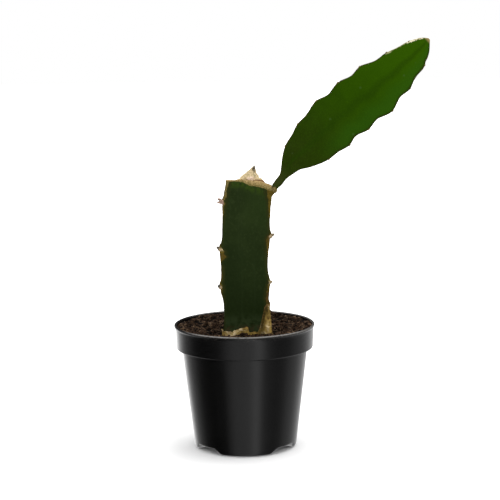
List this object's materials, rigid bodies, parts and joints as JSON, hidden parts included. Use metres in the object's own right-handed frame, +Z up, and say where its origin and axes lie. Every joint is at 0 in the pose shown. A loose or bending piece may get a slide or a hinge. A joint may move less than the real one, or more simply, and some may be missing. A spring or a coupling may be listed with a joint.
{
  "type": "dragon fruit cactus",
  "caption": "Three-ribbed dragon fruit stem cutting with a calloused cut top and a flat crenate young branch, planted in peat in a round black nursery pot.",
  "frame": {"origin": "middle of the pot's flat foot, on the ground", "axes": "+Z up along the pot's axis, +X to the side the branch leans to, the stem's broad front face looks along -Y"},
  "size_m": [0.2204, 0.1214, 0.3521],
  "materials": {
    "black_plastic": "satin",
    "peat": "matte",
    "stem_green": "satin",
    "cork": "matte",
    "callus": "matte",
    "branch_green": "satin"
  },
  "bodies": {
    "root": {"pot": "black_plastic", "soil": "peat", "main_stem": "stem_green", "corky_foot": "cork", "left_margin": "cork", "right_margin": "cork", "back_margin": "cork", "cut_callus": "callus", "branch": "branch_green"}
  },
  "joints": []
}
